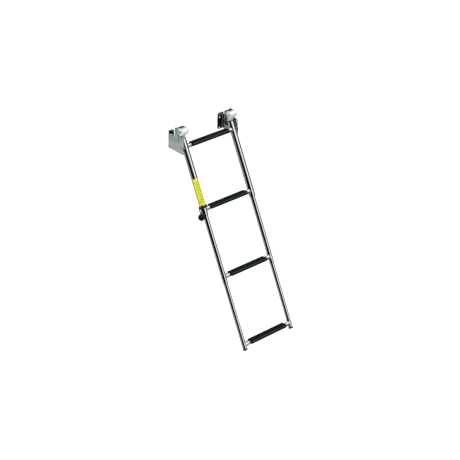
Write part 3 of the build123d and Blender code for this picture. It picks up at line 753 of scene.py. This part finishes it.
def bungee_loop():
    """Doubled cord round the rail, its bight folded over the strands that leave it."""
    pivot, out, along = bungee_places()
    ring_centre = centre("bungee_loop")
    ring_r = (pivot - ring_centre).length
    lie = out.cross(along)
    lie *= 1.0 if lie.dot(SLIDE) > 0 else -1.0

    def on_ring(angle, lift, extra=0.0):
        direction = out * cos(angle) + along * sin(angle)
        return ring_centre + direction * (ring_r + extra) + lie * lift

    turn = [LOOP_START + (LOOP_END - LOOP_START) * i / LOOP_STEPS for i in range(LOOP_STEPS + 1)]
    points = [on_ring(angle, LOOP_GAP) for angle in turn]
    for i in range(1, BIGHT_STEPS):
        a = pi * i / BIGHT_STEPS
        swing = LOOP_GAP / 2 * sin(a)
        points.append(on_ring(LOOP_END + swing / ring_r * BIGHT_REACH,
                              LOOP_GAP / 2 * (1 + cos(a)), swing * BIGHT_OUT))
    points += [on_ring(angle, 0.0) for angle in reversed(turn)]
    loop = new_mesh("bungee_loop_cord", *cord(points))
    dress(loop, "elastic_cord")
    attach(loop, "upper_section")
    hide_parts("bungee_loop")


def bungee_strands():
    """Two strands from under the bight into the ball."""
    pivot, out, along = bungee_places()
    ball = centre("bungee_ball")
    up = (pivot - ball).normalized()
    ball_r = width("bungee_ball") / 2
    parts = []
    for sign in (-1, 1):
        begin = pivot + along * (sign * V_HALF) - out * STRAND_TUCK
        shoulder = begin + out * STRAND_OUT - up * STRAND_FALL
        mouth = ball + up * ball_r + along * (sign * CORD_R)
        inside = ball + along * (sign * CORD_R)
        path = smooth_path([begin, shoulder, (shoulder + mouth) / 2, mouth, inside], CORD_STEP)
        parts.append(cord(path))
    strands = join_meshes("bungee_strands", parts)
    dress(strands, "elastic_cord")
    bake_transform(strands)


def bungee_knot():
    """Stopper knot in the ball's foot, with two short tails."""
    pivot, _, along = bungee_places()
    ball = centre("bungee_ball")
    up = (pivot - ball).normalized()
    side = along.cross(up).normalized()
    middle = ball - up * (width("bungee_ball") / 2 - KNOT_DEEP)
    path = []
    for i in range(KNOT_POINTS):
        t = 2 * pi * i / KNOT_POINTS
        spread = along * (sin(t) + 2 * sin(2 * t)) + side * (cos(t) - 2 * cos(2 * t))
        path.append(middle + spread * KNOT_SPREAD - up * (sin(3 * t) * KNOT_LIFT))
    parts = [sweep(path, KNOT_R, KNOT_SIDES, weave, closed=True)]
    for sign in (-1, 1):
        tail = [middle + along * (sign * out) - up * down for out, down in KNOT_TAIL]
        parts.append(sweep(smooth_path(tail, CORD_STEP), KNOT_R, KNOT_SIDES, weave))
    knot = join_meshes("bungee_knot", parts)
    dress(knot, "elastic_cord")
    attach(knot, "bungee")
    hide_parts("bungee_cord")


def bungee_ball():
    """Moulded ball: bored, pocketed for the knot, with rounded mouths and a parting line."""
    ball = centre("bungee_ball")
    up = (Vector(JOINTS["bungee_swing"]["pos_m"]) - ball).normalized()
    radius = width("bungee_ball") / 2
    first = asin((BORE_R + LIP_R) / radius)
    last = pi - asin((POCKET_R + LIP_R) / radius)
    top = radius * cos(first)
    bottom = radius * cos(last)
    profile = [(BORE_R, 0.0), (BORE_R, top - LIP_R), (BORE_R + 0.2 * LIP_R, top - 0.3 * LIP_R)]
    for i in range(BALL_STEPS + 1):
        a = first + (last - first) * i / BALL_STEPS
        seam = SEAM_HEIGHT * np.exp(-((a - pi / 2) * radius / SEAM_WIDTH) ** 2)
        profile.append(((radius + seam) * sin(a), (radius + seam) * cos(a)))
    profile += [(POCKET_R + 0.2 * LIP_R, bottom + 0.3 * LIP_R), (POCKET_R, bottom + LIP_R),
                (POCKET_R, POCKET_ROOF), (BORE_R, POCKET_ROOF)]
    piece = new_mesh("bungee_ball_handle", *turned(profile, ball, up, BALL_SEGMENTS))
    dress(piece, "ball_rubber")
    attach(piece, "bungee")
    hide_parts("bungee_ball")


# ------------------------------------------------------------------ studio
def mirror_room(s, direction):
    """What polished steel reflects: bands of black, grey and white. Bearings are in degrees, 0
    straight out from the boat and 90 to the climber's right; z is the direction's height."""
    x, y, z = s.add("ShaderNodeSeparateXYZ", {0: direction}).outputs
    bearing = s.math("ARCTAN2", x, s.math("MULTIPLY", y, -1.0))
    up_rails = s.dot(direction, tuple(SLIDE))

    def sector(low, high, soft=4.0):
        return s.between(bearing, radians(low), radians(high), radians(soft))

    def paint(room, *masks, tone):
        mask = masks[0]
        for other in masks[1:]:
            mask = s.math("MULTIPLY", mask, other)
        return s.mix(mask, room, tone)

    black = (0.002, 0.002, 0.002)
    white = (1.45, 1.45, 1.45)
    smoke = (0.022, 0.022, 0.023)
    light_grey = (0.62, 0.64, 0.63)
    dim_grey = (0.24, 0.26, 0.25)
    grey_green = (0.36, 0.42, 0.385)
    pale_green = (0.56, 0.61, 0.52)
    blue_grey = (0.41, 0.52, 0.51)
    teal = (0.05, 0.09, 0.10)

    # walls all round
    room = s.mix(sector(-185.0, -98.0), light_grey, grey_green)
    room = paint(room, sector(150.0, 185.0, 8.0), tone=grey_green)
    room = paint(room, s.step(z, -0.24, -0.20), sector(-98.0, 1.0, 3.0),
                 s.step(up_rails, -0.40, -0.32), tone=black)
    room = paint(room, sector(1.0, 36.0, 2.0), tone=white)
    room = paint(room, sector(36.0, 88.0, 3.0), tone=smoke)

    # low, out from the boat and under the ladder
    room = paint(room, s.step(z, -0.30, -0.40), sector(-80.0, 76.0), tone=black)
    room = paint(room, s.step(z, -0.51, -0.56), sector(-80.0, 100.0), tone=dim_grey)

    # overhead, with a dark rib beside it
    room = paint(room, s.step(z, 0.30, 0.42), sector(-35.0, 97.0), tone=white)
    room = paint(room, s.step(z, 0.5, 0.6), sector(-180.0, -35.0), tone=white)
    room = paint(room, s.between(z, 0.56, 0.84, 0.03), sector(99.0, 132.0), tone=black)

    # the patch that the brackets' webs reflect: pale, then grey, then black, from low to high
    low_wall = s.mix(s.step(z, -0.447, -0.443), pale_green, blue_grey)
    low_wall = s.mix(s.step(z, -0.436, -0.433), low_wall, black)
    room = paint(room, sector(-158.0, -127.0, 2.0), s.between(z, -0.56, 0.20, 0.02), tone=low_wall)

    # over the boat: a dim wall with a black corner in it
    room = paint(room, s.between(z, 0.05, 0.50, 0.03), sector(120.0, 182.0), tone=teal)
    return paint(room, s.between(z, 0.0, 0.64, 0.03), sector(133.0, 154.0), tone=black)


def studio_world():
    """White for the eye, soft white for diffuse light, and the banded room for mirrors."""
    world = bpy.data.worlds.new("studio")
    world.use_nodes = True
    s = Shader(world.node_tree)
    direction = s.add("ShaderNodeTexCoord").outputs["Generated"]
    height = s.add("ShaderNodeSeparateXYZ", {0: direction}).outputs[2]
    soft_room = s.mix(s.step(height, -0.6, 0.8), (0.86, 0.87, 0.88), (1.08, 1.08, 1.08))

    def background(colour):
        return s.add("ShaderNodeBackground", {"Color": colour, "Strength": 1.0}).outputs[0]

    plain = background(soft_room)
    mirror = background(mirror_room(s, direction))
    eye = background((1.0, 1.0, 1.0, 1.0))
    rays = s.add("ShaderNodeLightPath").outputs
    mixed = s.add("ShaderNodeMixShader", {0: rays["Is Glossy Ray"], 1: plain, 2: mirror}).outputs[0]
    mixed = s.add("ShaderNodeMixShader", {0: rays["Is Camera Ray"], 1: mixed, 2: eye}).outputs[0]
    s.add("ShaderNodeOutputWorld", {"Surface": mixed})
    world.cycles.sampling_method = "NONE"
    bpy.context.scene.world = world


FLOOR_DROP = 0.28                     # floor below the ladder's feet
FLOOR_REACH = 14.0


def studio_floor():
    """Pale floor well below the ladder's feet, left out of the mirror reflections."""
    material, s = new_material("floor")
    tone = s.mix(s.noise(s.place(), 1.2, 2.0), (0.90, 0.90, 0.90), (0.94, 0.94, 0.94))
    s.surface({"Base Color": tone, "Roughness": 0.8, "Emission Color": (1.0, 1.0, 1.0, 1.0),
               "Emission Strength": 0.22})
    corners = [(across * FLOOR_REACH, deep * FLOOR_REACH, cad_low.z - FLOOR_DROP)
               for across, deep in ((-1, -1), (1, -1), (1, 1), (-1, 1))]
    mesh = bpy.data.meshes.new("floor")
    mesh.from_pydata(corners, [], [(0, 1, 2, 3)])
    mesh.materials.append(material)
    floor = bpy.data.objects.new("floor", mesh)
    floor.visible_glossy = False
    bpy.context.scene.collection.objects.link(floor)


KEY_PLACE = Vector((-1.6, -1.4, 1.7))
KEY_AIM = Vector((0.0, -0.3, -0.3))
KEY_SIZE = 1.6
KEY_WATTS = 26.0


def studio_key():
    """Large soft light, high on the camera's left, left out of the mirror reflections."""
    light = bpy.data.lights.new("key", "AREA")
    light.size = KEY_SIZE
    light.energy = KEY_WATTS
    lamp = bpy.data.objects.new("key", light)
    lamp.location = KEY_PLACE
    lamp.rotation_mode = "QUATERNION"
    lamp.rotation_quaternion = (KEY_AIM - KEY_PLACE).to_track_quat("-Z", "Y")
    lamp.visible_glossy = False
    bpy.context.scene.collection.objects.link(lamp)


# ------------------------------------------------------------------ camera
CAMERA_PLACE = Vector((-3.8829, -4.4400, 2.8694))
CAMERA_FORWARD = Vector((0.5898, 0.6387, -0.4942)).normalized()
CAMERA_UP = Vector((0.3130, 0.3833, 0.8690))
LENS_MM = 119.9
SENSOR_MM = 36.0


def studio_camera():
    """Long lens from the front left and above, rolled by under two degrees."""
    camera_data = bpy.data.cameras.new("camera")
    camera_data.lens = LENS_MM
    camera_data.sensor_width = SENSOR_MM
    camera_data.clip_start = 0.1
    camera_data.clip_end = 40.0
    camera = bpy.data.objects.new("camera", camera_data)
    right = CAMERA_FORWARD.cross(CAMERA_UP).normalized()
    up = right.cross(CAMERA_FORWARD)
    turn = Matrix((right, up, -CAMERA_FORWARD)).transposed()
    camera.matrix_world = Matrix.Translation(CAMERA_PLACE) @ turn.to_4x4()
    bpy.context.scene.collection.objects.link(camera)
    bpy.context.scene.camera = camera


# ------------------------------------------------------------------ build
for node, piece in NODES.items():
    if node.endswith("rung_tube"):
        dress(piece, "rung_stainless")
    elif node.endswith("hinge_saddle"):
        dress(piece, "saddle_stainless")
    elif node.endswith("_tread"):
        dress(piece, node)
    else:
        dress(piece, SLOTS[node])

NODES["rail_label"].visible_glossy = False     # keeps yellow streaks out of the right rail

rung_welds()
saddle_welds()
tread_grip()
bungee_loop()
bungee_strands()
bungee_knot()
bungee_ball()

studio_world()
studio_floor()
studio_key()
studio_camera()
bpy.context.scene.view_settings.view_transform = "Standard"
